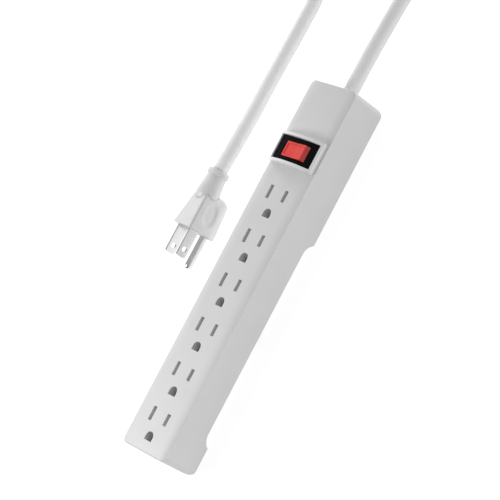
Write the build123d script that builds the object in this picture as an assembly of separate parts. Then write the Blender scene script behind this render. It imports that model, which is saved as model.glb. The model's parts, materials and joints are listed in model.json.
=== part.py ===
from build123d import *
import math
import os

# Six-outlet power strip with a lit rocker switch and a three-pin cord, lying on its feet.
# Frame: X along the housing with the cord end at +X, Y across it, Z up from the floor.
# The origin is at the middle of the housing's footprint. All lengths are in millimetres.

os.makedirs("parts", exist_ok=True)

# ------------------------------------------------------------------ housing
LENGTH = 228.6
WIDTH = 38.2
HEIGHT = 25.5  # floor to the flat of the top face
PLAN_RADIUS = 4.6
WALL = 2.0
TOP_THICKNESS = 2.2
SIDE_DRAFT = 0.25  # how far each side leans in from foot to ridge
CROWN_START = 12.9  # half width of the flat on top
CROWN_DROP = 0.87  # fall of the top from its flat to the ridge
RIM_Z = 0.2  # lower edge of the top cover's walls at the feet
FOOT_RISE = 4.7  # height of the finger recess along both sides
NEAR_FOOT_X = -96.4
FAR_FOOT_X = 29.5
STEP_RUN = 7.4  # length of each curved step beside the recess

BASE_THICKNESS = 1.4
BASE_RISE = 2.6  # the base's underside between the feet
BASE_GAP = 0.15  # base cover to the walls round it
SCREW_XS = (-104.0, -30.0, 88.0)
SCREW_Y = 13.2
SCREW_HEAD_RADIUS = 2.8
SCREW_SHANK_RADIUS = 1.4
KEYHOLE_HEAD_RADIUS = 3.5
KEYHOLE_NECK_RADIUS = 2.0
KEYHOLE_TRAVEL = 6.0
KEYHOLE_DEPTH = 3.0

# ------------------------------------------------------------------ outlets, NEMA 5-15R
OUTLETS = 6
PITCH = 27.66
FIRST_OUTLET_X = 45.3  # slot centreline of the outlet beside the switch
SLOT_SPACING = 12.7
GROUND_OFFSET = 11.9  # from the slot centreline to the ground hole
SLOT_WIDTH = 2.6
NEUTRAL_SLOT_LENGTH = 8.3
HOT_SLOT_LENGTH = 7.0
GROUND_HOLE_RADIUS = 3.0
GROUND_HOLE_LENGTH = 5.3
WELL_DEPTH = 5.0
WELL_WALL = 1.2

# ------------------------------------------------------------------ contacts
BAR_THICKNESS = 0.6
BAR_Z = (9.0, 15.0)
BAR_X = (-99.0, 55.0)
LEAF = 0.4
BLADE_GAP = 1.7
CLIP_LENGTH = 8.6
CLIP_Z = (9.5, 15.0)
GROUND_STRIP_Z = 7.0
GROUND_STRIP_HALF = 4.3
GROUND_CLIP_RADIUS = 2.45
GROUND_CLIP_TOP = 14.0
RIVET_RADIUS = 0.8

# ------------------------------------------------------------------ rocker switch
SWITCH_X = 71.0
BEZEL = (18.4, 35.0)
BEZEL_WALL = 1.7
BEZEL_MIDDLE_RISE = 5.8  # top of the bezel over the top face, at its middle
BEZEL_END_RISE = 2.1
FLANGE = (14.8, 31.6)
FLANGE_MIDDLE_RISE = 3.2
FLANGE_END_RISE = 1.7
SEAT_RISE = 0.6
SWITCH_BODY = (12.6, 28.6)
SWITCH_FLOOR_Z = 8.0
SWITCH_SIDE = 1.4
ROCKER_WIDTH = 9.0
ROCKER_HALF = 8.6
ROCKER_SWEEP = 11.71  # radius of the rocker's curved ends about its pivot
ROCKER_DISH = 3.0  # slope of each half of the rocker's top, degrees
ROCKER_TILT = 7.0  # tilt each way from level, degrees
PIVOT_Z = HEIGHT - 4.3
PIVOT_TO_TOP = 7.5
TRUNNION_RADIUS = 1.5
PLUNGER_RADIUS = 1.5
PLUNGER_TIP = 7.0
LEVER_TILT = 5.0
LEVER_DROP = 8.3  # lever's axis below the rocker's pivot
LEVER_HALF = 6.6
TERMINAL_Y = 9.2
TERMINAL_FOOT_Z = 3.0

# ------------------------------------------------------------------ cord and plug
CORD_RADIUS = 4.4
CORD_EXIT_Z = 12.2
CORD_START_X = 96.0  # where the jacket is stripped, inside the housing
RELIEF_OUTSIDE = 1.5
RELIEF_INSIDE = 8.0
COIL_CENTRE = (239.0, 41.0)
COIL_RADIUS = 46.0
WIRE_RADIUS = 1.2

PLUG_FRONT_X = 10.4
PLUG_AXIS_Y = 62.0
PLUG_AXIS_Z = 16.4
PLUG_ROLL = -10.0
PLUG_BODY_LENGTH = 24.0
PLUG_NECK_LENGTH = 13.5
PLUG_FRONT_SECTION = (9.5, 6.8, -7.0)  # half width, top, centre of the round underside
PLUG_REAR_SECTION = (6.2, 4.6, -9.0)
BLADE_LENGTH = 17.5
BLADE_WIDTH = 6.35
BLADE_THICKNESS = 1.5
BLADE_LINE_Z = 0.7  # blades above the cord's axis, in the plug's own frame
PIN_RADIUS = 2.375
PIN_LENGTH = 21.2
PLUG_TAIL = 7.0  # how far the blades reach back inside the plug

# The cord's two stretches, from point to point, with the coil between them.
STRIP_SIDE_ROUTE = [
    (CORD_START_X, 0, CORD_EXIT_Z),
    (134, 0, CORD_EXIT_Z),
    (171, 3.8, 6.8),
    (198, 4.2, CORD_RADIUS),
    (219, COIL_CENTRE[1] - COIL_RADIUS + 2.1, CORD_RADIUS),
    (COIL_CENTRE[0], COIL_CENTRE[1] - COIL_RADIUS, CORD_RADIUS),
]
PLUG_SIDE_ROUTE = [
    (COIL_CENTRE[0], COIL_CENTRE[1] + COIL_RADIUS, 3 * CORD_RADIUS),
    (209, COIL_CENTRE[1] + COIL_RADIUS - 1.0, 12.6),
    (177, 70.7, 5.4),
    (145, 72.4, 4.5),
    (112, 70.5, 7.0),
    (79, 63.6, 13.0),
    (PLUG_FRONT_X + PLUG_BODY_LENGTH + PLUG_NECK_LENGTH, PLUG_AXIS_Y, PLUG_AXIS_Z),
]

outlet_xs = [FIRST_OUTLET_X - PITCH * i for i in range(OUTLETS)]
ground_xs = [x - GROUND_OFFSET for x in outlet_xs]
keyhole_xs = [ground_xs[1] - 6.9, ground_xs[4] - 6.9]
rib_xs = [outlet_xs[i] - 19.0 for i in (0, 2, 3)]
half_length = LENGTH / 2
half_width = WIDTH / 2
inner_half_width = half_width - SIDE_DRAFT - WALL
inner_half_length = half_length - WALL
slot_y = SLOT_SPACING / 2


# ------------------------------------------------------------------ helpers
def block(x0, x1, y0, y1, z0, z1):
    """A box between two corners."""
    middle = Pos((x0 + x1) / 2, (y0 + y1) / 2, (z0 + z1) / 2)
    return middle * Box(x1 - x0, y1 - y0, z1 - z0)


def upright(x, y, z0, z1, radius):
    """A round bar along Z."""
    return Pos(x, y, (z0 + z1) / 2) * Cylinder(radius, z1 - z0)


def bar_x(x0, x1, y, z, radius):
    """A round bar along X."""
    return Pos((x0 + x1) / 2, y, z) * Rot(0, 90, 0) * Cylinder(radius, x1 - x0)


def bar_y(x, y0, y1, z, radius):
    """A round bar along Y."""
    return Pos(x, (y0 + y1) / 2, z) * Rot(90, 0, 0) * Cylinder(radius, y1 - y0)


def arc_between(start, end, radius, side):
    """A short arc of the given radius whose centre is on one side of its chord."""
    ax, ay = start
    bx, by = end
    chord = math.hypot(bx - ax, by - ay)
    sagitta = radius - math.sqrt(radius**2 - chord**2 / 4)
    nx, ny = (ay - by) / chord, (bx - ax) / chord
    middle = ((ax + bx) / 2 + side * sagitta * nx, (ay + by) / 2 + side * sagitta * ny)
    return ThreePointArc(start, middle, end)


def crowned(half, end_height, middle_height):
    """An arc over the width, from one end height up to the middle and down again."""
    return ThreePointArc((-half, end_height), (0, middle_height), (half, end_height))


def prism_x(outline, x0, x1):
    """A closed outline in Y and Z, carried along X."""
    return Pos(x0, 0, 0) * extrude(Plane.YZ * make_face(outline), x1 - x0)


def prism_y(outline, y0, y1):
    """A closed outline in X and Z, carried along Y."""
    return Pos(0, y1, 0) * extrude(Plane.XZ * make_face(outline), y1 - y0)


def bend_radii(points):
    """For each corner, the largest tangent arc that leaves a tenth of its runs straight."""
    radii = []
    for before, corner, after in zip(points, points[1:], points[2:]):
        run_in = Vector(*corner) - Vector(*before)
        run_out = Vector(*after) - Vector(*corner)
        half_turn = math.radians(run_in.get_angle(run_out)) / 2
        radii.append(0.45 * min(run_in.length, run_out.length) / math.tan(half_turn))
    return radii


def round_cable(name, points, radius):
    """A round cable along straight runs joined by tangent arcs; prints its bends."""
    radii = bend_radii(points)
    path = FilletPolyline(*points, radius=radii)
    section = Plane(origin=points[0], z_dir=path % 0) * Circle(radius)
    cable = sweep(section, path=path)
    expected = math.pi * radius**2 * path.length
    print(name, "length", round(path.length, 1), "radii", [round(r) for r in radii])
    print(name, "volume over section times length", round(cable.volume / expected, 4))
    return cable


def save(node, *shapes):
    """Write one node: a single solid, or a group of separate ones."""
    solids = [solid for shape in shapes for solid in shape.solids()]
    export_step(solids[0] if len(solids) == 1 else Compound(solids), f"parts/{node}.step")


# ------------------------------------------------------------------ housing
def housing_block():
    """The outside of the closed housing: section, side view and plan, intersected."""
    ridge_y = half_width - SIDE_DRAFT
    ridge_z = HEIGHT - CROWN_DROP
    crown_run = ridge_y - CROWN_START
    crown_radius = (crown_run**2 + CROWN_DROP**2) / (2 * CROWN_DROP)
    section = (
        Polyline((-ridge_y, ridge_z), (-half_width, RIM_Z), (half_width, RIM_Z), (ridge_y, ridge_z))
        + arc_between((ridge_y, ridge_z), (CROWN_START, HEIGHT), crown_radius, -1)
        + Line((CROWN_START, HEIGHT), (-CROWN_START, HEIGHT))
        + arc_between((-CROWN_START, HEIGHT), (-ridge_y, ridge_z), crown_radius, -1)
    )
    shape = prism_x(section, -half_length, half_length)

    side = Plane.XZ * Pos(0, (HEIGHT + RIM_Z) / 2) * Rectangle(LENGTH, HEIGHT - RIM_Z)
    lower = side.vertices().group_by(Axis.Z)[0]
    side = fillet(lower, 3.2)
    upper = side.vertices().group_by(Axis.Z)[-1]
    side = fillet(upper, 0.9)
    shape &= extrude(side, WIDTH, both=True)
    shape &= extrude(RectangleRounded(LENGTH, WIDTH, PLAN_RADIUS), HEIGHT)
    return shape


def finger_recess():
    """The stretch cut out below both side walls, with a curved step at each end."""
    ceiling = RIM_Z + FOOT_RISE
    step_radius = (STEP_RUN**2 + FOOT_RISE**2) / (2 * FOOT_RISE)
    outline = (
        Polyline((FAR_FOOT_X, RIM_Z), (FAR_FOOT_X, -1), (NEAR_FOOT_X, -1), (NEAR_FOOT_X, RIM_Z))
        + arc_between((NEAR_FOOT_X, RIM_Z), (NEAR_FOOT_X + STEP_RUN, ceiling), step_radius, 1)
        + Line((NEAR_FOOT_X + STEP_RUN, ceiling), (FAR_FOOT_X - STEP_RUN, ceiling))
        + arc_between((FAR_FOOT_X - STEP_RUN, ceiling), (FAR_FOOT_X, RIM_Z), step_radius, 1)
    )
    return prism_y(outline, -WIDTH, WIDTH)


def slot(x, y, length, z0, z1, margin=0.0):
    """A blade slot, or with a margin the wall round it."""
    return block(
        x - length / 2 - margin,
        x + length / 2 + margin,
        y - SLOT_WIDTH / 2 - margin,
        y + SLOT_WIDTH / 2 + margin,
        z0,
        z1,
    )


def ground_hole(x, z0, z1, margin=0.0):
    """A ground hole: flat on the side away from the blades, round towards them."""
    radius = GROUND_HOLE_RADIUS + margin
    flat_x = x - GROUND_HOLE_LENGTH / 2 - margin
    centre_x = x + GROUND_HOLE_LENGTH / 2 - GROUND_HOLE_RADIUS
    hole = upright(centre_x, 0, z0, z1, radius)
    hole += block(flat_x, centre_x, -radius, radius, z0, z1)
    return hole & block(flat_x, x + 10, -radius, radius, z0, z1)


def outlet(x, z0, z1, margin=0.0):
    """The three openings of one outlet."""
    return (
        slot(x, slot_y, NEUTRAL_SLOT_LENGTH, z0, z1, margin)
        + slot(x, -slot_y, HOT_SLOT_LENGTH, z0, z1, margin)
        + ground_hole(x - GROUND_OFFSET, z0, z1, margin)
    )


def top_cover(shell):
    """Top face, side walls and end walls in one moulding, with its ribs and bosses."""
    ceiling = HEIGHT - TOP_THICKNESS
    cavity = RectangleRounded(2 * inner_half_length, 2 * inner_half_width, PLAN_RADIUS - WALL)
    cover = shell - extrude(cavity, ceiling)
    cover -= finger_recess()

    well_z = HEIGHT - WELL_DEPTH
    for x in outlet_xs:
        cover += outlet(x, well_z, ceiling + 0.5, WELL_WALL)
    for x in outlet_xs:
        cover -= outlet(x, well_z - 1, HEIGHT + 1)
    for x in rib_xs:
        for side in (-1, 1):
            cover += block(x - 0.7, x + 0.7, *sorted((side * 6.9, side * 9.1)), BAR_Z[1], ceiling + 0.5)

    for x in SCREW_XS:
        for side in (-1, 1):
            y = side * SCREW_Y
            boss_foot = base_floor_z(x) + 3.0
            cover += upright(x, y, boss_foot, ceiling + 0.5, 2.9)
            cover -= upright(x, y, boss_foot - 1, ceiling - 2, SCREW_SHANK_RADIUS + 0.05)

    for side in (-1, 1):
        post = block(98.5, 103.5, *sorted((side * 5.0, side * 10.0)), 8.6, ceiling + 0.5)
        cover += post - upright(101, side * 7.5, 8, 18, 1.25)
    cover += block(98.5, 103.5, -6, 6, 13.0, ceiling + 0.5)
    cover -= bar_x(CORD_START_X - 2, 106, 0, CORD_EXIT_Z, CORD_RADIUS)

    half_x = BEZEL[0] / 2 - 1.1
    half_y = BEZEL[1] / 2 - 1.1
    cover -= block(SWITCH_X - half_x, SWITCH_X + half_x, -half_y, half_y, ceiling - 1, HEIGHT + 1)
    cover -= bar_x(inner_half_length - 1, half_length + 1, 0, CORD_EXIT_Z, CORD_RADIUS + 1.1)
    return cover


def base_underside_z(x):
    """Height of the base cover's underside, which steps up between the feet."""
    return BASE_RISE if NEAR_FOOT_X < x < FAR_FOOT_X else 0.0


def base_floor_z(x):
    """Height of the base cover's inner floor."""
    return base_underside_z(x) + BASE_THICKNESS


def base_outline(lift):
    """The base's stepped side view, from its underside up by the given thickness."""
    end = inner_half_length - BASE_GAP
    near = NEAR_FOOT_X - 1
    far = FAR_FOOT_X + 1
    under = [(-end, 0), (near, 0), (near + 4, BASE_RISE), (far - 4, BASE_RISE), (far, 0), (end, 0)]
    over = [(x, z + lift) for x, z in reversed(under)]
    return Polyline(*under, *over, close=True)


def travel(x, radius, z0, z1):
    """The space a round screw head or neck sweeps along +Y in a keyhole."""
    path = upright(x, 0, z0, z1, radius) + upright(x, KEYHOLE_TRAVEL, z0, z1, radius)
    return path + block(x - radius, x + radius, 0, KEYHOLE_TRAVEL, z0, z1)


def base_cover():
    """The plate that closes the housing from below, with an upstanding rim inside it."""
    half = inner_half_width - BASE_GAP
    end = inner_half_length - BASE_GAP
    plate = prism_y(base_outline(BASE_THICKNESS), -half, half)
    rim = prism_y(base_outline(5.0), -half, half)
    rim -= block(1 - end, end - 1, 1 - half, half - 1, -1, 12)
    base = plate + rim
    base &= extrude(RectangleRounded(2 * end, 2 * half, PLAN_RADIUS - WALL - BASE_GAP), 12)

    for x in SCREW_XS:
        for side in (-1, 1):
            y = side * SCREW_Y
            under = base_underside_z(x)
            base += upright(x, y, under, base_floor_z(x) + 3.0, SCREW_HEAD_RADIUS + 1.1)
            base -= upright(x, y, under - 1, under + 2.6, SCREW_HEAD_RADIUS + 0.3)
            base -= upright(x, y, under, under + 9, SCREW_SHANK_RADIUS + 0.2)
            base -= upright(x, y, base_floor_z(x) + 3.0, 12, 3.1)
    base &= block(-end, end, -half, half, -1, 12)

    for x in keyhole_xs:
        roof = BASE_RISE + KEYHOLE_DEPTH
        wide = KEYHOLE_HEAD_RADIUS
        base += travel(x, wide + 1.0, BASE_RISE, roof + 1.0)
        base -= travel(x, wide, BASE_RISE + 1.2, roof)
        base -= travel(x, KEYHOLE_NECK_RADIUS, BASE_RISE - 1, roof)
        base -= upright(x, 0, BASE_RISE - 1, roof, wide)

    for x in rib_xs:
        base += block(x - 0.7, x + 0.7, -9.1, 9.1, BASE_RISE + 1, GROUND_STRIP_Z)
        for side in (-1, 1):
            base += block(x - 0.7, x + 0.7, *sorted((side * 6.9, side * 9.1)), BASE_RISE + 1, BAR_Z[0])
    return base


def housing_screws():
    """Flat-bottomed tapping screws, driven up through the base into the top cover."""
    screws = []
    for x in SCREW_XS:
        for side in (-1, 1):
            y = side * SCREW_Y
            under = base_underside_z(x)
            head = upright(x, y, under + 0.5, under + 2.6, SCREW_HEAD_RADIUS)
            head -= block(x - 1.8, x + 1.8, y - 0.35, y + 0.35, under, under + 1.5)
            head -= block(x - 0.35, x + 0.35, y - 1.8, y + 1.8, under, under + 1.5)
            screws.append(head + upright(x, y, under + 2.6, under + 15, SCREW_SHANK_RADIUS))
    return screws


def cord_clamp():
    """The bar that presses the cord up into the saddle of the top cover."""
    clamp = block(98.7, 103.3, -10, 10, 6.0, 8.6)
    clamp -= bar_x(98, 104, 0, CORD_EXIT_Z, CORD_RADIUS)
    for side in (-1, 1):
        clamp -= upright(101, side * 7.5, 5, 10, 1.4)
    return clamp


def clamp_screws():
    """The two screws under the cord clamp."""
    screws = []
    for side in (-1, 1):
        y = side * 7.5
        head = upright(101, y, 4.2, 6.0, 2.3)
        head -= block(99.4, 102.6, y - 0.3, y + 0.3, 4, 5)
        screws.append(head + upright(101, y, 6.0, 16.5, 1.2))
    return screws


# ------------------------------------------------------------------ contacts
def bus_bar(side):
    """A flat bar on edge, along the outer side of one row of blade clips."""
    inner = slot_y + BLADE_GAP / 2 + LEAF
    return block(*BAR_X, *sorted((side * inner, side * (inner + BAR_THICKNESS))), *BAR_Z)


def blade_clip(x, side):
    """A spring hairpin round one blade, bent at its end away from the switch."""
    gap = BLADE_GAP / 2
    outer = gap + LEAF
    length = CLIP_LENGTH
    hairpin = Pos(x - length / 2 + outer, side * slot_y) * Circle(outer)
    hairpin += Pos(x + outer / 2, side * slot_y) * Rectangle(length - outer, 2 * outer)
    hairpin -= Pos(x - length / 2 + outer, side * slot_y) * Circle(gap)
    hairpin -= Pos(x + outer / 2 + 1, side * slot_y) * Rectangle(length - outer + 2, 2 * gap)
    return Pos(0, 0, CLIP_Z[0]) * extrude(hairpin, CLIP_Z[1] - CLIP_Z[0])


def ground_strip():
    """The flat ground bar with a hole under each ground clip."""
    z1 = GROUND_STRIP_Z + BAR_THICKNESS
    strip = block(-112 + 2, BAR_X[1], -GROUND_STRIP_HALF, GROUND_STRIP_HALF, GROUND_STRIP_Z, z1)
    for x in ground_xs:
        strip -= upright(x, 0, 6, 9, 2.6)
    return strip


def ground_clip(x):
    """A split sleeve round the ground pin, on a foot riveted to the strip."""
    z0 = GROUND_STRIP_Z + BAR_THICKNESS
    sleeve = upright(x, 0, z0, GROUND_CLIP_TOP, GROUND_CLIP_RADIUS + LEAF)
    sleeve += block(x - 3.8, x - 2, -2, 2, z0, z0 + LEAF)
    sleeve -= upright(x, 0, z0 - 1, GROUND_CLIP_TOP + 1, GROUND_CLIP_RADIUS)
    return sleeve - block(x, x + 4, -1, 1, z0 - 1, GROUND_CLIP_TOP + 1)


def contact_rivets():
    """One rivet through each blade clip and its bar."""
    inner = slot_y + BLADE_GAP / 2
    outer = inner + LEAF + BAR_THICKNESS
    z = (BAR_Z[0] + BAR_Z[1]) / 2
    rivets = []
    for x in outlet_xs:
        for side in (-1, 1):
            y0, y1 = sorted((side * outer, side * (outer + 0.5)))
            rivets.append(bar_y(x + 1, y0, y1, z, RIVET_RADIUS))
    return rivets


# ------------------------------------------------------------------ rocker switch
def switch_bezel(shell):
    """The raised collar on the top face, arched over the width of the housing."""
    half_x, half_y = BEZEL[0] / 2, BEZEL[1] / 2
    low = HEIGHT - TOP_THICKNESS
    ends = HEIGHT + BEZEL_END_RISE
    outline = crowned(half_y, ends, HEIGHT + BEZEL_MIDDLE_RISE) + Polyline(
        (half_y, ends), (half_y, low), (-half_y, low), (-half_y, ends)
    )
    collar = prism_x(outline, SWITCH_X - half_x, SWITCH_X + half_x)
    collar -= shell
    skirt = block(
        SWITCH_X - half_x + 1.2,
        SWITCH_X + half_x - 1.2,
        1.2 - half_y,
        half_y - 1.2,
        low,
        HEIGHT + 0.3,
    )
    collar += skirt
    inner_x, inner_y = half_x - BEZEL_WALL, half_y - BEZEL_WALL + 0.2
    collar -= block(
        SWITCH_X - inner_x, SWITCH_X + inner_x, -inner_y, inner_y, HEIGHT + SEAT_RISE, HEIGHT + 9
    )
    body_x, body_y = SWITCH_BODY[0] / 2, SWITCH_BODY[1] / 2
    return collar - block(SWITCH_X - body_x, SWITCH_X + body_x, -body_y, body_y, low - 1, HEIGHT + 9)


def sweep_space(radius, half_x, z0, z1):
    """The part between two heights of a round bar about the rocker's pivot."""
    bar = bar_x(SWITCH_X - half_x, SWITCH_X + half_x, 0, PIVOT_Z, radius)
    return bar & block(SWITCH_X - half_x, SWITCH_X + half_x, -20, 20, z0, z1)


def switch_housing():
    """The black switch: arched flange, and the box below it that holds the works."""
    half_x, half_y = FLANGE[0] / 2, FLANGE[1] / 2
    seat = HEIGHT + SEAT_RISE
    ends = HEIGHT + FLANGE_END_RISE
    outline = crowned(half_y, ends, HEIGHT + FLANGE_MIDDLE_RISE) + Polyline(
        (half_y, ends), (half_y, seat), (-half_y, seat), (-half_y, ends)
    )
    body = prism_x(outline, SWITCH_X - half_x, SWITCH_X + half_x)
    body_x, body_y = SWITCH_BODY[0] / 2, SWITCH_BODY[1] / 2
    body += block(SWITCH_X - body_x, SWITCH_X + body_x, -body_y, body_y, SWITCH_FLOOR_Z, seat)

    opening_x = ROCKER_WIDTH / 2 + 0.25
    body -= sweep_space(ROCKER_SWEEP + 0.25, opening_x, PIVOT_Z + 3, HEIGHT + 9)
    body -= block(
        SWITCH_X - opening_x,
        SWITCH_X + opening_x,
        1.2 - body_y,
        body_y - 1.2,
        SWITCH_FLOOR_Z + 1.4,
        PIVOT_Z + 3,
    )
    body -= bar_x(SWITCH_X - 5.8, SWITCH_X + 5.8, 0, PIVOT_Z, TRUNNION_RADIUS + 0.06)
    for y in (-TERMINAL_Y, 0, TERMINAL_Y):
        body -= block(SWITCH_X - 2.4, SWITCH_X + 2.4, y - 0.4, y + 0.4, SWITCH_FLOOR_Z - 1, SWITCH_FLOOR_Z + 2)
    return body


def at_pivot(shape, tilt):
    """Turn a shape that was drawn about the origin, and carry it to the rocker's pivot."""
    return Pos(SWITCH_X, 0, PIVOT_Z) * Rot(tilt, 0, 0) * shape


def rocker():
    """The red rocker, drawn level about its pivot: dished top, curved ends, side webs."""
    half = ROCKER_WIDTH / 2
    lip_z = PIVOT_TO_TOP + ROCKER_HALF * math.tan(math.radians(ROCKER_DISH))
    reach = math.hypot(ROCKER_HALF, lip_z)
    hem_z = 4.6
    hem_y = math.sqrt(reach**2 - hem_z**2)
    outline = (
        Polyline((-ROCKER_HALF, lip_z), (0, PIVOT_TO_TOP), (ROCKER_HALF, lip_z))
        + arc_between((ROCKER_HALF, lip_z), (hem_y, hem_z), reach, -1)
        + Polyline((hem_y, hem_z), (5.5, 3.0), (2.6, -2.4), (-2.6, -2.4), (-5.5, 3.0), (-hem_y, hem_z))
        + arc_between((-hem_y, hem_z), (-ROCKER_HALF, lip_z), reach, -1)
    )
    body = prism_x(outline, -half, half)
    body -= block(1.0 - half, half - 1.0, -8.2, 8.2, -5, PIVOT_TO_TOP - 1.4)
    body += upright(0, 0, -3.4, PIVOT_TO_TOP - 1, PLUNGER_RADIUS + 1.0)
    body -= upright(0, 0, -5, PIVOT_TO_TOP - 1.4, PLUNGER_RADIUS + 0.05)
    for end in (-1, 1):
        body += bar_x(*sorted((end * (half - 0.2), end * (half + 0.95))), 0, 0, TRUNNION_RADIUS)

    # A shallow window in the top leaves a raised border all round it.
    for end in (-1, 1):
        window = Box(ROCKER_WIDTH - 2.2, ROCKER_HALF + 0.2, 0.8)
        slope = Rot(end * ROCKER_DISH, 0, 0) * Pos(0, end * (ROCKER_HALF - 1.9) / 2, 0)
        body -= Pos(0, 0, PIVOT_TO_TOP) * slope * window & block(-5, 5, *sorted((0, end * 7.4)), 6, 10)
    return at_pivot(body, -ROCKER_TILT)


def rocker_plunger():
    """The round-nosed plunger in the rocker's stem."""
    nose = Pos(0, 0, -PLUNGER_TIP + PLUNGER_RADIUS) * Sphere(PLUNGER_RADIUS)
    return at_pivot(upright(0, 0, -PLUNGER_TIP + PLUNGER_RADIUS, 0.5, PLUNGER_RADIUS) + nose, -ROCKER_TILT)


def plunger_spring():
    """The compression spring above the plunger, as a coil of round wire."""
    rise = PIVOT_TO_TOP - 1.6 - 0.9
    path = Pos(0, 0, 0.75) * Helix(pitch=rise / 4, height=rise, radius=1.1)
    wire = sweep(Plane(origin=path @ 0, z_dir=path % 0) * Circle(0.22), path=path, is_frenet=True)
    return at_pivot(wire, -ROCKER_TILT)


def neon_lamp():
    """The small neon tube under one end of the rocker's window."""
    lamp = bar_x(-1.7, 1.7, -6.2, 4.4, 1.5)
    for end in (-1, 1):
        lamp += Pos(end * 1.7, -6.2, 4.4) * Sphere(1.5)
    return at_pivot(lamp, -ROCKER_TILT)


def lamp_resistor():
    """The lamp's series resistor under the other end."""
    body = bar_x(-2.2, 2.2, 6.0, 4.4, 0.9)
    for end in (-1, 1):
        body += bar_x(*sorted((end * 1.5, end * 2.6)), 6.0, 4.4, 1.15)
    return at_pivot(body, -ROCKER_TILT)


def at_fulcrum(shape, tilt):
    """Turn a shape about the lever's axis, and carry it there."""
    return Pos(SWITCH_X, 0, PIVOT_Z - LEVER_DROP) * Rot(tilt, 0, 0) * shape


def contact_lever():
    """The see-saw that the plunger tips to make or break the line."""
    lever = block(-2.0, 2.0, -LEVER_HALF, LEVER_HALF, 0.5, 1.15)
    for end in (-1, 1):
        lever += block(-2.0, 2.0, *sorted((end * 0.55, end * 1.1)), 0.1, 0.6)
    return at_fulcrum(lever, LEVER_TILT)


def moving_contact():
    """The silver button under the lever's closing end."""
    return at_fulcrum(upright(0, 1.4 - LEVER_HALF, -0.2, 0.5, 1.2), LEVER_TILT)


def line_terminal():
    """The middle blade, whose rounded upper edge is the lever's fulcrum."""
    top = PIVOT_Z - LEVER_DROP
    blade = block(SWITCH_X - 2.4, SWITCH_X + 2.4, -0.4, 0.4, TERMINAL_FOOT_Z, top)
    return blade + bar_x(SWITCH_X - 2.4, SWITCH_X + 2.4, 0, top, 0.4)


def load_terminal():
    """The blade on the closing side, with a shelf for the fixed contact."""
    shelf_z = SWITCH_FLOOR_Z + 2.2
    blade = block(
        SWITCH_X - 2.4, SWITCH_X + 2.4, -TERMINAL_Y - 0.4, -TERMINAL_Y + 0.4, TERMINAL_FOOT_Z, shelf_z
    )
    return blade + block(
        SWITCH_X - 2.4, SWITCH_X + 2.4, -TERMINAL_Y - 0.4, -3.8, shelf_z, shelf_z + 0.8
    )


def fixed_contact():
    """The silver button on the load terminal's shelf."""
    button_y = 1.4 - LEVER_HALF
    shelf_top = SWITCH_FLOOR_Z + 3.0
    button_top = PIVOT_Z - LEVER_DROP - 0.85
    return upright(SWITCH_X, button_y, shelf_top, button_top, 1.2)


def lamp_terminal():
    """The blade on the other side, which feeds the lamp."""
    return block(
        SWITCH_X - 2.4, SWITCH_X + 2.4, TERMINAL_Y - 0.4, TERMINAL_Y + 0.4, TERMINAL_FOOT_Z, SWITCH_FLOOR_Z + 5
    )


# ------------------------------------------------------------------ wires inside the housing
def wires():
    """The cord's three cores and the two links of the switch, each a round wire."""
    foot = TERMINAL_FOOT_Z + 1.4
    bar_y_mid = slot_y + BLADE_GAP / 2 + LEAF + BAR_THICKNESS / 2
    start = CORD_START_X - 0.6
    near, far = SWITCH_X + 2.6, SWITCH_X - 2.6
    routes = {
        "line_wire": [
            (start, 0, 14.2), (91, 0, 13.6), (86, 0.4, 9), (81, 0.3, foot), (near, 0, foot),
        ],
        "neutral_wire": [
            (start, 2.0, 11.2), (91, 4, 10.4), (83, 11.5, 6.0), (73, 12.6, foot), (62, 12.4, 5.2),
            (BAR_X[1] + 3, 9.6, 9), (BAR_X[1], bar_y_mid + 1.5, 12), (BAR_X[1] - 6, bar_y_mid + 1.5, 12),
        ],
        "ground_wire": [
            (start, -2.0, 11.2), (91, -3.6, 10), (84, -5.6, 5.6), (74, -5.0, foot), (64, -4.4, foot + 0.6),
            (BAR_X[1] + 2, -2.4, GROUND_STRIP_Z + 1.9), (BAR_X[1] - 6, 0, GROUND_STRIP_Z + 1.8),
        ],
        "load_wire": [
            (far, -TERMINAL_Y, foot), (64, -TERMINAL_Y - 0.4, foot + 0.2), (BAR_X[1] + 3, -10.2, 8),
            (BAR_X[1], -bar_y_mid - 1.5, 12), (BAR_X[1] - 6, -bar_y_mid - 1.5, 12),
        ],
        "lamp_wire": [
            (far, TERMINAL_Y, foot), (65, TERMINAL_Y - 0.6, foot + 0.4), (59, 7.0, 8.0),
            (BAR_X[1] - 1, bar_y_mid - 1.9, 12), (BAR_X[1] - 5, bar_y_mid - 1.5, 12.2),
        ],
    }
    for node, points in routes.items():
        save(node, round_cable(node, points, WIRE_RADIUS))


# ------------------------------------------------------------------ cord
def strain_relief():
    """The tapered bush that holds the cord in the end wall."""
    wall_in, wall_out = inner_half_length, half_length
    tip = wall_out + RELIEF_OUTSIDE
    bore = CORD_RADIUS + 0.05
    outline = Polyline(
        (wall_in - RELIEF_INSIDE, bore),
        (wall_in - RELIEF_INSIDE, 5.4),
        (wall_in - 2.0, 7.0),
        (wall_in, 7.0),
        (wall_in, CORD_RADIUS + 1.1),
        (wall_out, CORD_RADIUS + 1.1),
        (wall_out, CORD_RADIUS + 0.65),
        (tip, CORD_RADIUS + 0.35),
        (tip, bore),
        close=True,
    )
    bush = revolve(Plane.XY * make_face(outline), Axis.X)
    return Pos(0, 0, CORD_EXIT_Z) * bush


def cord_coil():
    """The outer shape of the put-away turns: one round below and one on top."""
    x, y = COIL_CENTRE
    outer, inner = COIL_RADIUS + CORD_RADIUS, COIL_RADIUS - CORD_RADIUS
    ring = upright(x, y, 0, 4 * CORD_RADIUS, outer) - upright(x, y, -1, 40, inner)
    arriving = block(x - outer, x, y - outer - 1, y - inner + 9, -1, 2 * CORD_RADIUS + 0.1)
    leaving = block(x - outer, x, y + inner - 9, y + outer + 1, 2 * CORD_RADIUS - 0.8, 40)
    return ring - arriving - leaving


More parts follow.
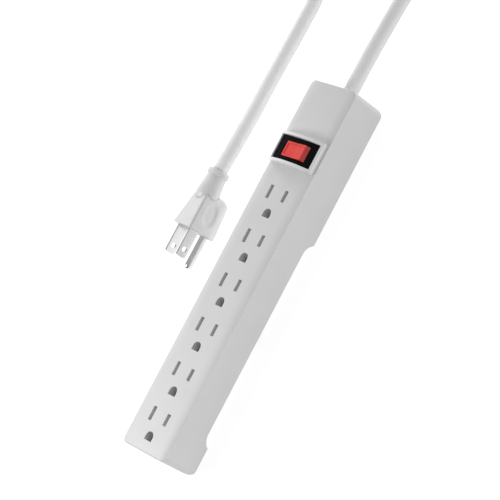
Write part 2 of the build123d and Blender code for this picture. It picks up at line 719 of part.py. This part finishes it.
def cord_tie():
    """A flat strap round the two turns, on the side away from the housing."""
    x, y = COIL_CENTRE
    gap, strap, half = 0.2, 0.9, 5.0
    inner, outer = x + COIL_RADIUS - CORD_RADIUS - 1.0, x + COIL_RADIUS + CORD_RADIUS
    top = 4 * CORD_RADIUS
    band = block(inner - gap - strap, outer + gap + strap, y - half, y + half, 0, top + gap + strap)
    return band - block(inner - gap, outer + gap, y - half - 1, y + half + 1, -1, top + gap)


# ------------------------------------------------------------------ plug, NEMA 5-15P
def at_plug(shape):
    """Carry a shape from the plug's own frame, whose origin is on its face, to its place."""
    return Pos(PLUG_FRONT_X, PLUG_AXIS_Y, PLUG_AXIS_Z) * Rot(PLUG_ROLL, 0, 0) * shape


def plug_section(x, half, top, round_z):
    """One cross-section of the plug: flat on top, straight sides, half-round below."""
    outline = (
        Polyline((-half, round_z), (-half, top), (half, top), (half, round_z))
        + ThreePointArc((half, round_z), (0, round_z - half), (-half, round_z))
    )
    return Pos(x, 0, 0) * (Plane.YZ * make_face(outline))


def plug_bridge_block():
    """The stiff insert that the blades and the pin are set in."""
    upper = block(1.4, PLUG_TAIL + 1.2, -7.2, 7.2, -7.5, BLADE_LINE_Z + 4.2)
    return upper + block(1.4, PLUG_TAIL + 1.2, -4.4, 4.4, -14.4, -7.5)


def plug_blade(side):
    """A flat blade with rounded corners and a hole near its tip."""
    half = BLADE_WIDTH / 2
    blade = Plane.XZ * Pos((PLUG_TAIL - BLADE_LENGTH) / 2, BLADE_LINE_Z) * Rectangle(
        PLUG_TAIL + BLADE_LENGTH, 2 * half
    )
    blade = fillet(blade.vertices().group_by(Axis.X)[0], 1.6)
    blade = Pos(0, BLADE_THICKNESS / 2, 0) * extrude(blade, BLADE_THICKNESS)
    blade -= bar_y(4.9 - BLADE_LENGTH, -2, 2, BLADE_LINE_Z, 1.6)
    return Pos(0, side * slot_y, 0) * blade


def plug_ground_pin():
    """The round ground pin with a domed end and a narrower tail."""
    z = BLADE_LINE_Z - GROUND_OFFSET
    pin = bar_x(PIN_RADIUS - PIN_LENGTH, 0, 0, z, PIN_RADIUS)
    pin += Pos(PIN_RADIUS - PIN_LENGTH, 0, z) * Sphere(PIN_RADIUS)
    return pin + bar_x(-0.2, PLUG_TAIL, 0, z, PIN_RADIUS - 0.5)


def plug_body():
    """The moulded grip with its stepped neck, cut out for everything that is set in it."""
    grip = loft(
        [plug_section(0, *PLUG_FRONT_SECTION), plug_section(PLUG_BODY_LENGTH, *PLUG_REAR_SECTION)],
        ruled=True,
    )
    grip = fillet(grip.faces().sort_by(Axis.X)[-1].edges(), 3.0)
    grip = fillet(grip.faces().sort_by(Axis.X)[0].edges(), 0.8)
    rear = PLUG_BODY_LENGTH
    neck_end = rear + PLUG_NECK_LENGTH
    neck_outline = Polyline(
        (rear - 4.0, 0), (rear - 4.0, 6.9), (rear + 1.5, 6.9), (neck_end - 3.2, 5.9),
        (neck_end - 3.2, 6.5), (neck_end, 6.5), (neck_end, 0), close=True,
    )
    body = grip + revolve(Plane.XY * make_face(neck_outline), Axis.X)
    lean = math.degrees(math.atan2(PLUG_FRONT_SECTION[0] - PLUG_REAR_SECTION[0], rear))
    for side in (-1, 1):
        surface = (PLUG_FRONT_SECTION[0] + PLUG_REAR_SECTION[0]) / 2
        grip_oval = extrude(Plane.XZ * Ellipse(6.6, 4.0), 2, both=True)
        place = Pos(rear / 2 + 0.4, side * (surface + 1.2), -3.6) * Rot(0, 0, -side * lean)
        body -= place * grip_oval
    body -= plug_bridge_block()
    for side in (-1, 1):
        body -= plug_blade(side)
    return body - plug_ground_pin()


# ------------------------------------------------------------------ the parts, one file each
shell = housing_block()
save("top_cover", top_cover(shell))
save("base_cover", base_cover())
save("housing_screws", *housing_screws())
save("cord_clamp", cord_clamp())
save("clamp_screws", *clamp_screws())

save("hot_bus_bar", bus_bar(-1))
save("neutral_bus_bar", bus_bar(1))
save("ground_bus_bar", ground_strip())
save("contact_rivets", *contact_rivets())
for i in range(OUTLETS):
    save(f"hot_clip_{i + 1}", blade_clip(outlet_xs[i], -1))
    save(f"neutral_clip_{i + 1}", blade_clip(outlet_xs[i], 1))
    save(f"ground_clip_{i + 1}", ground_clip(ground_xs[i]))

save("switch_bezel", switch_bezel(shell))
save("switch_housing", switch_housing())
save("rocker", rocker())
save("rocker_plunger", rocker_plunger())
save("plunger_spring", plunger_spring())
save("neon_lamp", neon_lamp())
save("lamp_resistor", lamp_resistor())
save("contact_lever", contact_lever())
save("moving_contact", moving_contact())
save("line_terminal", line_terminal())
save("load_terminal", load_terminal())
save("fixed_contact", fixed_contact())
save("lamp_terminal", lamp_terminal())
wires()

strip_side = round_cable("cord_strip_side", STRIP_SIDE_ROUTE, CORD_RADIUS)
plug_side = round_cable("cord_plug_side", PLUG_SIDE_ROUTE, CORD_RADIUS)
save("cord_strain_relief", strain_relief() - strip_side)
save("cord_strip_side", strip_side)
save("cord_plug_side", plug_side)
save("cord_coil", cord_coil())
save("cord_tie", cord_tie())
print("cord_coil turns", 1.5, "length", round(3 * math.pi * COIL_RADIUS, 1))

bridge = plug_bridge_block() - plug_blade(-1) - plug_blade(1) - plug_ground_pin()
save("plug_body", at_plug(plug_body()) - plug_side)
save("plug_bridge", at_plug(bridge))
save("plug_line_blade", at_plug(plug_blade(1)))
save("plug_neutral_blade", at_plug(plug_blade(-1)))
save("plug_ground_pin", at_plug(plug_ground_pin()))
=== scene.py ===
import bpy
import bmesh
import json
import math
from mathutils import Matrix, Vector


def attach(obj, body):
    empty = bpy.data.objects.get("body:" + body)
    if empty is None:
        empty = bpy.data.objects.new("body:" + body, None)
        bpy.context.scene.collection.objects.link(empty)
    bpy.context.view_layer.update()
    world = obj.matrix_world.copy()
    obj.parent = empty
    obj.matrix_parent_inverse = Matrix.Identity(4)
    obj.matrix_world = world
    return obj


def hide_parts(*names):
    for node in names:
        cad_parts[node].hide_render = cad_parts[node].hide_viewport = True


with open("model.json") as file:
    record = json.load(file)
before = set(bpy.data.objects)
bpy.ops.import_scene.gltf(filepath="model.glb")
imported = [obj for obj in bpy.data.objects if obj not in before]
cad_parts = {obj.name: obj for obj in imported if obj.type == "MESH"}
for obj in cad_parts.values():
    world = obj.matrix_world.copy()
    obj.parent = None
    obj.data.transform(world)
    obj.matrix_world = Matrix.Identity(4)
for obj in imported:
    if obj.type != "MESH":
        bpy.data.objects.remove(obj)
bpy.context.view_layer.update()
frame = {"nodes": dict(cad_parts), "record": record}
MM = 0.001

# ------------------------------------------------------------------ camera
CAMERA_AT = Vector((-0.08952, -0.78555, 0.75052))
CAMERA_AZIMUTH = -7.288
CAMERA_ELEVATION = 42.539
CAMERA_ROLL = -57.26
CAMERA_LENS = 140.4
SENSOR = 36.0
CLIP_NEAR = 0.01
CLIP_FAR = 20


def add_camera():
    """A long lens, rolled so that the strip runs up the frame from lower left to upper right."""
    angles = (CAMERA_AZIMUTH, CAMERA_ELEVATION, CAMERA_ROLL)
    azimuth, elevation, roll = (math.radians(angle) for angle in angles)
    forward = Vector(
        (
            -math.sin(azimuth) * math.cos(elevation),
            math.cos(azimuth) * math.cos(elevation),
            -math.sin(elevation),
        )
    )
    level = Vector((math.cos(azimuth), math.sin(azimuth), 0))
    right = math.cos(roll) * level + math.sin(roll) * level.cross(forward)
    up = right.cross(forward)
    data = bpy.data.cameras.new("camera")
    data.lens = CAMERA_LENS
    data.sensor_width = SENSOR
    data.clip_start = CLIP_NEAR
    data.clip_end = CLIP_FAR
    camera = bpy.data.objects.new("camera", data)
    turn = Matrix((right, up, -forward)).transposed().to_4x4()
    camera.matrix_world = Matrix.Translation(CAMERA_AT) @ turn
    bpy.context.scene.collection.objects.link(camera)
    bpy.context.scene.camera = camera


add_camera()

# ------------------------------------------------------------------ cord route, as in part.py
CORD_RADIUS = 4.4
COIL_CENTRE = (239.0, 41.0)
COIL_RADIUS = 46.0
COIL_STEPS = 14  # points in each half turn
CROSS_SECTION_STEPS = 12
SPLINE_STEPS = 10  # between two control points
SPLINE_ORDER = 3
STRIP_SIDE = [
    (96, 0, 12.2),
    (134, 0, 12.2),
    (171, 3.8, 6.8),
    (198, 4.2, CORD_RADIUS),
    (219, COIL_CENTRE[1] - COIL_RADIUS + 2.1, CORD_RADIUS),
]
PLUG_SIDE = [
    (209, COIL_CENTRE[1] + COIL_RADIUS - 1.0, 12.6),
    (177, 70.7, 5.4),
    (145, 72.4, 4.5),
    (112, 70.5, 7.0),
    (79, 63.6, 13.0),
    (47.9, 62.0, 16.4),
]


def coil_points():
    """One and a half turns: along the floor, up over the near side, and on top."""
    points = []
    for step in range(3 * COIL_STEPS + 1):
        half_turns = step / COIL_STEPS
        angle = math.pi * (half_turns - 0.5)
        climb = min(max(half_turns - 1, 0), 1)
        points.append(
            (
                COIL_CENTRE[0] + COIL_RADIUS * math.cos(angle),
                COIL_CENTRE[1] + COIL_RADIUS * math.sin(angle),
                CORD_RADIUS * (1 + 2 * climb),
            )
        )
    return points


def add_cord(name, points, radius):
    """A smooth round cord on a spline with these control points, in millimetres."""
    curve = bpy.data.curves.new(name, "CURVE")
    curve.dimensions = "3D"
    curve.bevel_depth = 1.0  # each point's own radius sets the size
    curve.bevel_resolution = CROSS_SECTION_STEPS
    curve.resolution_u = SPLINE_STEPS
    curve.use_fill_caps = True
    spline = curve.splines.new("NURBS")
    spline.points.add(len(points) - 1)
    for point, place in zip(spline.points, points):
        point.co = (*(Vector(place) * MM), 1)
        point.radius = radius * MM
    spline.order_u = SPLINE_ORDER
    spline.use_endpoint_u = True
    spline.use_smooth = True
    cord = bpy.data.objects.new(name, curve)
    bpy.context.scene.collection.objects.link(cord)
    return cord


cord = add_cord("power_cord", STRIP_SIDE + coil_points() + PLUG_SIDE, CORD_RADIUS)
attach(cord, "housing")
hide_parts("cord_strip_side", "cord_coil", "cord_plug_side")


# ------------------------------------------------------------------ materials
NOISE_LOW, NOISE_HIGH = 0.3, 0.7  # where most of a noise texture's values lie
PLASTIC_CLOUD_SCALE = 45
PLASTIC_SMEAR_SCALE = 120
PLASTIC_RELIEF_DEPTH = 0.00008
FILM_ROUGHNESS = 0.1
FILM_IOR = 1.003  # nearly no gloss: the film only darkens what is seen at a low angle
GLOW_RADIUS = (0.55, 0.55, 0.55)  # how far light spreads under the surface
GLOW_SCALE = 0.002
METAL_CLOUD_SCALE = 160
METAL_STREAK_SCALE = 900
METAL_STREAK_STRENGTH = 0.12
METAL_RELIEF_DEPTH = 0.00005


def shader_for(name):
    """A new node material, its Principled shader and its node tree."""
    material = bpy.data.materials.new(name)
    material.use_nodes = True
    tree = material.node_tree
    return material, tree, tree.nodes["Principled BSDF"]


def noise(tree, scale, detail=2.0, rough=0.5, stretch=(1, 1, 1)):
    """A noise texture over the object's own coordinates, which are metres."""
    coords = tree.nodes.new("ShaderNodeTexCoord")
    mapping = tree.nodes.new("ShaderNodeMapping")
    mapping.inputs["Scale"].default_value = stretch
    texture = tree.nodes.new("ShaderNodeTexNoise")
    texture.inputs["Scale"].default_value = scale
    texture.inputs["Detail"].default_value = detail
    texture.inputs["Roughness"].default_value = rough
    tree.links.new(coords.outputs["Object"], mapping.inputs["Vector"])
    tree.links.new(mapping.outputs["Vector"], texture.inputs["Vector"])
    return texture


def ramp(tree, source, stops):
    """A colour ramp driven by a texture's value."""
    node = tree.nodes.new("ShaderNodeValToRGB")
    elements = node.color_ramp.elements
    while len(elements) < len(stops):
        elements.new(0.5)
    for element, (position, colour) in zip(elements, stops):
        element.position = position
        element.color = (*colour, 1)
    tree.links.new(source, node.inputs["Fac"])
    return node


def shade(colour, factor):
    """The colour made lighter or darker."""
    return tuple(min(1.0, channel * factor) for channel in colour)


def spread(tree, source, low, high):
    """A value mapped from noise to a range."""
    node = tree.nodes.new("ShaderNodeMapRange")
    node.inputs["From Min"].default_value = NOISE_LOW
    node.inputs["From Max"].default_value = NOISE_HIGH
    node.inputs["To Min"].default_value = low
    node.inputs["To Max"].default_value = high
    tree.links.new(source, node.inputs["Value"])
    return node


def bump(tree, shader, source, strength, distance):
    """Fine relief on the shader's normal."""
    node = tree.nodes.new("ShaderNodeBump")
    node.inputs["Strength"].default_value = strength
    node.inputs["Distance"].default_value = distance
    tree.links.new(source, node.inputs["Height"])
    tree.links.new(node.outputs["Normal"], shader.inputs["Normal"])


def clouded(tree, cloud, colour, darker, lighter):
    """The colour, drifting between a darker and a lighter shade with the noise."""
    stops = [(NOISE_LOW, shade(colour, 1 - darker)), (NOISE_HIGH, shade(colour, 1 + lighter))]
    return ramp(tree, cloud.outputs["Fac"], stops).outputs["Color"]


def plastic(
    name,
    colour,
    rough=(0.35, 0.5),
    variation=0.03,
    grain=2200,
    relief=0.15,
    ior=1.5,
    glow=0.0,
    film=None,
):
    """Moulded plastic: faint clouding in its colour, uneven gloss and a fine moulded grain."""
    material, tree, shader = shader_for(name)
    cloud = noise(tree, PLASTIC_CLOUD_SCALE, 3.0)
    tree.links.new(clouded(tree, cloud, colour, variation, variation), shader.inputs["Base Color"])
    smear = noise(tree, PLASTIC_SMEAR_SCALE, 4.0, 0.6)
    gloss = spread(tree, smear.outputs["Fac"], *rough)
    tree.links.new(gloss.outputs["Result"], shader.inputs["Roughness"])
    fine = noise(tree, grain)
    bump(tree, shader, fine.outputs["Fac"], relief, PLASTIC_RELIEF_DEPTH)
    shader.inputs["IOR"].default_value = ior
    if film:
        shader.inputs["Coat Weight"].default_value = 1.0
        shader.inputs["Coat Roughness"].default_value = FILM_ROUGHNESS
        shader.inputs["Coat IOR"].default_value = FILM_IOR
        shader.inputs["Coat Tint"].default_value = (film, film, film, 1)
    if glow:
        shader.inputs["Subsurface Weight"].default_value = glow
        shader.inputs["Subsurface Radius"].default_value = GLOW_RADIUS
        shader.inputs["Subsurface Scale"].default_value = GLOW_SCALE
    return material


def metal(name, colour, rough=(0.18, 0.32), tarnish=0.08, stretch=(1, 1, 1)):
    """Plated or bare metal: drawn streaks, uneven gloss and a little tarnish."""
    material, tree, shader = shader_for(name)
    cloud = noise(tree, METAL_CLOUD_SCALE, 4.0, 0.6, stretch)
    tree.links.new(clouded(tree, cloud, colour, tarnish, tarnish / 2), shader.inputs["Base Color"])
    gloss = spread(tree, cloud.outputs["Fac"], *rough)
    tree.links.new(gloss.outputs["Result"], shader.inputs["Roughness"])
    shader.inputs["Metallic"].default_value = 1.0
    streaks = noise(tree, METAL_STREAK_SCALE, stretch=stretch)
    bump(tree, shader, streaks.outputs["Fac"], METAL_STREAK_STRENGTH, METAL_RELIEF_DEPTH)
    return material


PLASTICS = {
    "housing_plastic": dict(
        colour=(0.725, 0.725, 0.73),
        rough=(0.34, 0.46),
        variation=0.02,
        grain=2600,
        relief=0.2,
    ),
    "base_plastic": dict(
        colour=(0.50, 0.505, 0.515),
        rough=(0.5, 0.65),
        variation=0.03,
        grain=1500,
        relief=0.3,
    ),
    "bezel_plastic": dict(
        colour=(0.86, 0.86, 0.865),
        rough=(0.24, 0.34),
        variation=0.02,
        grain=2600,
        relief=0.05,
    ),
    "switch_black": dict(
        colour=(0.004, 0.004, 0.005),
        rough=(0.12, 0.24),
        variation=0.2,
        grain=3000,
        relief=0.06,
        ior=1.15,
    ),
    "rocker_red": dict(
        colour=(0.84, 0.07, 0.06),
        rough=(0.12, 0.2),
        variation=0.08,
        grain=3000,
        relief=0.05,
        ior=1.49,
        glow=0.25,
    ),
    "plunger_plastic": dict(colour=(0.75, 0.72, 0.62), rough=(0.4, 0.5), variation=0.04),
    "cord_vinyl": dict(
        colour=(1.0, 1.0, 1.0),
        rough=(0.22, 0.32),
        variation=0.01,
        grain=1800,
        relief=0.05,
        ior=1.5,
        glow=0.0,
        film=0.91,
    ),
    "plug_vinyl": dict(
        colour=(0.80, 0.80, 0.805),
        rough=(0.26, 0.38),
        variation=0.02,
        grain=1800,
        relief=0.12,
        ior=1.5,
        glow=0.5,
        film=0.97,
    ),
    "tie_plastic": dict(
        colour=(0.03, 0.03, 0.032),
        rough=(0.5, 0.65),
        variation=0.1,
        grain=900,
        relief=0.5,
    ),
    "wire_black": dict(colour=(0.02, 0.02, 0.02), rough=(0.3, 0.4), variation=0.1),
    "wire_white": dict(colour=(0.75, 0.75, 0.73), rough=(0.3, 0.4), variation=0.03),
    "wire_green": dict(colour=(0.02, 0.22, 0.06), rough=(0.3, 0.4), variation=0.06),
    "resistor_body": dict(colour=(0.45, 0.33, 0.18), rough=(0.3, 0.4), variation=0.08),
    "lamp_glass": dict(
        colour=(0.85, 0.62, 0.5),
        rough=(0.05, 0.1),
        variation=0.05,
        grain=3000,
        relief=0.02,
    ),
}
METALS = {
    "contact_brass": dict(
        colour=(0.74, 0.54, 0.24),
        rough=(0.22, 0.38),
        tarnish=0.12,
        stretch=(1, 6, 6),
    ),
    "contact_silver": dict(colour=(0.86, 0.86, 0.83), rough=(0.2, 0.3)),
    "plated_brass": dict(
        colour=(0.72, 0.72, 0.715),
        rough=(0.14, 0.24),
        tarnish=0.06,
        stretch=(0.25, 3, 3),
    ),
    "spring_steel": dict(colour=(0.55, 0.55, 0.56), rough=(0.2, 0.3)),
    "screw_steel": dict(colour=(0.60, 0.61, 0.62), rough=(0.25, 0.4), tarnish=0.1),
}

slot_materials = {name: plastic(name, **look) for name, look in PLASTICS.items()}
slot_materials.update({name: metal(name, **look) for name, look in METALS.items()})
for part in frame["record"]["subparts"]:
    node = frame["nodes"][part["node"]]
    material = slot_materials[part["material_slot"]]
    if not node.material_slots:
        node.data.materials.append(material)
    for material_slot in node.material_slots:
        material_slot.material = material
cord.data.materials.append(slot_materials["cord_vinyl"])


# ------------------------------------------------------------------ the plug's moulded grip
PLUG_FACE = (10.4, 62.0, 16.4)  # where the cord's axis meets the plug's face
PLUG_ROLL = -10.0
GRIP_LENGTH = 24.0
GRIP_FRONT = (9.5, 6.8, -7.0)  # half width, top, centre of the round underside
GRIP_REAR = (6.2, 4.6, -9.0)
GRIP_RINGS = 56
TOP_POINTS = 10
CORNER_POINTS = 5
SIDE_POINTS = 30
UNDER_POINTS = 22
GROOVE_WIDTH = 0.4
GROOVE_DEPTH = 0.6
FRONT_ROUND = 0.8
REAR_ROUND = 4.6
EDGE_ROUND = 0.9
DIMPLE_AT = (11.6, -3.8)
DIMPLE_HALF = (8.6, 4.9)
DIMPLE_DEPTH = 0.9
DIMPLE_BLEND = 0.45  # share of its reach over which it sinks in
FRONT_RINGS = 6
REAR_RINGS = 14
CREASE_ANGLE = 35
NECK_PROFILE = [  # distance from the plug's face, radius: a swelling taper, then a collar
    (16.8, 4.4),
    (18.2, 5.5),
    (20.0, 6.6),
    (21.5, 7.0),
    (23.5, 7.15),
    (26.0, 6.9),
    (29.5, 6.35),
    (33.4, 5.95),
    (33.9, 5.9),
    (34.2, 6.1),
    (34.5, 6.5),
    (35.0, 6.68),
    (36.6, 6.68),
    (37.2, 6.5),
    (37.5, 6.1),
    (37.5, 4.2),
]
NECK_STEPS = 72


def grip_outline(half, top, round_z):
    """A section's points: flat top, straight sides with a parting groove, half-round underside."""
    corner = min(EDGE_ROUND, half * 0.4)
    shoulder = top - corner
    lower = shoulder - GROOVE_WIDTH
    right = []
    for step in range(TOP_POINTS):
        right.append(((half - corner) * step / TOP_POINTS, top))
    for step in range(CORNER_POINTS):
        angle = math.pi / 2 * step / CORNER_POINTS
        y = half - corner + corner * math.sin(angle)
        right.append((y, top - corner + corner * math.cos(angle)))
    right.append((half, shoulder))
    depth = min(GROOVE_DEPTH, half * 0.3)
    right.append((half - depth, shoulder - GROOVE_WIDTH * 0.35))
    right.append((half - depth, shoulder - GROOVE_WIDTH * 0.65))
    for step in range(SIDE_POINTS):
        right.append((half, lower + (round_z - lower) * step / SIDE_POINTS))
    for step in range(UNDER_POINTS):
        angle = math.pi / 2 * step / UNDER_POINTS
        right.append((half * math.cos(angle), round_z - half * math.sin(angle)))
    left = [(-y, z) for y, z in right[1:]]
    return right + [(0.0, round_z - half)] + left[::-1]


def grip_inset(x):
    """How far the section draws in at x, for the rounded front and rear edges."""
    if x < FRONT_ROUND:
        return FRONT_ROUND - math.sqrt(max(FRONT_ROUND**2 - (FRONT_ROUND - x) ** 2, 0))
    past = x - (GRIP_LENGTH - REAR_ROUND)
    if past > 0:
        return REAR_ROUND - math.sqrt(max(REAR_ROUND**2 - past**2, 0))
    return 0.0


def grip_stations():
    """Places along the grip, closer together where its ends round over."""
    quarter = math.pi / 2
    front = [FRONT_ROUND * (1 - math.cos(quarter * i / FRONT_RINGS)) for i in range(FRONT_RINGS)]
    middle_end = GRIP_LENGTH - REAR_ROUND
    run = middle_end - FRONT_ROUND
    middle = [FRONT_ROUND + run * i / GRIP_RINGS for i in range(GRIP_RINGS)]
    turns = [quarter * i / REAR_RINGS for i in range(REAR_RINGS + 1)]
    rear = [middle_end + REAR_ROUND * math.sin(turn) for turn in turns]
    return front + middle + rear


def dimple(x, z):
    """Depth of the finger dimple on either side at a point."""
    along = (x - DIMPLE_AT[0]) / DIMPLE_HALF[0]
    across = (z - DIMPLE_AT[1]) / DIMPLE_HALF[1]
    reach = math.hypot(along, across)
    if reach >= 1:
        return 0.0
    share = min(1.0, (1 - reach) / DIMPLE_BLEND)
    return DIMPLE_DEPTH * share * share * (3 - 2 * share)


def skin(mesh, rings):
    """A closed tube of faces through rings that have the same number of points."""
    for ring, following in zip(rings, rings[1:]):
        for i in range(len(ring)):
            j = (i + 1) % len(ring)
            mesh.faces.new((ring[i], ring[j], following[j], following[i]))
    mesh.faces.new(rings[0][::-1])
    mesh.faces.new(rings[-1])


def add_plug_grip():
    """The grip and its neck, drawn in the plug's own frame and turned into place."""
    mesh = bmesh.new()
    rings = []
    for x in grip_stations():
        share = x / GRIP_LENGTH
        half, top, round_z = (a + share * (b - a) for a, b in zip(GRIP_FRONT, GRIP_REAR))
        inset = grip_inset(x)
        ring = []
        for y, z in grip_outline(half - inset, top - inset, round_z):
            if abs(y) > 0.5 * (half - inset):
                y -= math.copysign(dimple(x, z), y)
            ring.append(mesh.verts.new((x, y, z)))
        rings.append(ring)
    skin(mesh, rings)
    neck = []
    angles = [2 * math.pi * i / NECK_STEPS for i in range(NECK_STEPS)]
    for x, radius in NECK_PROFILE:
        circle = [(x, radius * math.cos(a), radius * math.sin(a)) for a in angles]
        neck.append([mesh.verts.new(point) for point in circle])
    skin(mesh, neck)
    bmesh.ops.recalc_face_normals(mesh, faces=mesh.faces)
    roll = Matrix.Rotation(math.radians(PLUG_ROLL), 4, "X")
    place = Matrix.Translation(Vector(PLUG_FACE) * MM) @ roll
    bmesh.ops.transform(mesh, matrix=place @ Matrix.Scale(MM, 4), verts=mesh.verts)
    for face in mesh.faces:
        face.smooth = True
    for edge in mesh.edges:
        if len(edge.link_faces) == 2 and edge.calc_face_angle() > math.radians(CREASE_ANGLE):
            edge.smooth = False
    data = bpy.data.meshes.new("plug_grip")
    mesh.to_mesh(data)
    mesh.free()
    grip = bpy.data.objects.new("plug_grip", data)
    bpy.context.scene.collection.objects.link(grip)
    data.materials.append(slot_materials["plug_vinyl"])
    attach(grip, "housing")
    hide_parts("plug_body")
    return grip


plug_grip = add_plug_grip()


# ------------------------------------------------------------------ softened edges on the CAD solids
def soften(node, width, segments=3, angle=30):
    """Round a solid's crisp edges a little, as a moulding's are."""
    bevel = frame["nodes"][node].modifiers.new("soft_edges", "BEVEL")
    bevel.width = width * MM
    bevel.segments = segments
    bevel.limit_method = "ANGLE"
    bevel.angle_limit = math.radians(angle)
    bevel.harden_normals = True


soften("top_cover", 0.3)
soften("switch_bezel", 0.35)
soften("switch_housing", 0.3)
soften("rocker", 0.25)
soften("base_cover", 0.25)
soften("plug_ground_pin", 0.1)
soften("plug_line_blade", 0.15)
soften("plug_neutral_blade", 0.15)


# ------------------------------------------------------------------ floor and light
FLOOR_HALF = 6.0
FLOOR_CLOUD_SCALE = 2.0
FLOOR_GREYS = (0.55, 0.57)
FLOOR_GLOW = 0.72  # brings the floor up to white
ROOM_DARK = 0.08
ROOM_LIGHT = 0.83


def add_floor():
    """A plain white sweep of floor."""
    mesh = bpy.data.meshes.new("floor")
    signs = [(-1, -1), (1, -1), (1, 1), (-1, 1)]
    corners = [(x * FLOOR_HALF, y * FLOOR_HALF, 0) for x, y in signs]
    mesh.from_pydata(corners, [], [(0, 1, 2, 3)])
    floor = bpy.data.objects.new("floor", mesh)
    bpy.context.scene.collection.objects.link(floor)
    material, tree, shader = shader_for("floor_white")
    cloud = noise(tree, FLOOR_CLOUD_SCALE)
    low, high = FLOOR_GREYS
    tint = ramp(tree, cloud.outputs["Fac"], [(NOISE_LOW, (low,) * 3), (NOISE_HIGH, (high,) * 3)])
    tree.links.new(tint.outputs["Color"], shader.inputs["Base Color"])
    shader.inputs["Roughness"].default_value = 0.9
    shader.inputs["Specular IOR Level"].default_value = 0.1
    shader.inputs["Emission Color"].default_value = (1, 1, 1, 1)
    shader.inputs["Emission Strength"].default_value = FLOOR_GLOW
    mesh.materials.append(material)


def add_surroundings():
    """A soft grey room, darker beyond the end away from the cord."""
    world = bpy.data.worlds.new("studio")
    bpy.context.scene.world = world
    world.use_nodes = True
    tree = world.node_tree
    coords = tree.nodes.new("ShaderNodeTexCoord")
    axes = tree.nodes.new("ShaderNodeSeparateXYZ")
    level = tree.nodes.new("ShaderNodeMapRange")
    level.inputs["From Min"].default_value = -1.0
    level.inputs["From Max"].default_value = 1.0
    level.inputs["To Min"].default_value = ROOM_DARK
    level.inputs["To Max"].default_value = ROOM_LIGHT
    tree.links.new(coords.outputs["Generated"], axes.inputs["Vector"])
    tree.links.new(axes.outputs["X"], level.inputs["Value"])
    background = tree.nodes["Background"]
    background.inputs["Color"].default_value = (1, 1, 1, 1)
    tree.links.new(level.outputs["Result"], background.inputs["Strength"])


def add_softbox(name, place, aim, size, power, bare=False):
    """A rectangular area light turned towards a point; a bare one is neither seen nor mirrored."""
    data = bpy.data.lights.new(name, "AREA")
    data.shape = "RECTANGLE"
    data.size, data.size_y = size
    data.energy = power
    light = bpy.data.objects.new(name, data)
    light.location = place
    direction = Vector(aim) - Vector(place)
    light.rotation_euler = direction.to_track_quat("-Z", "Y").to_euler()
    light.visible_glossy = light.visible_camera = not bare
    bpy.context.scene.collection.objects.link(light)


add_floor()
add_surroundings()
add_softbox("key", (-0.21, 0.25, 0.34), (-0.05, 0, 0), (0.22, 0.22), 1.12)
add_softbox("rim", (0.22, 0.31, 0.09), (0.16, 0.03, 0.01), (0.14, 0.10), 0.5, bare=True)

view = bpy.context.scene.view_settings
view.view_transform = "Standard"
view.look = "None"
view.exposure = 0.0
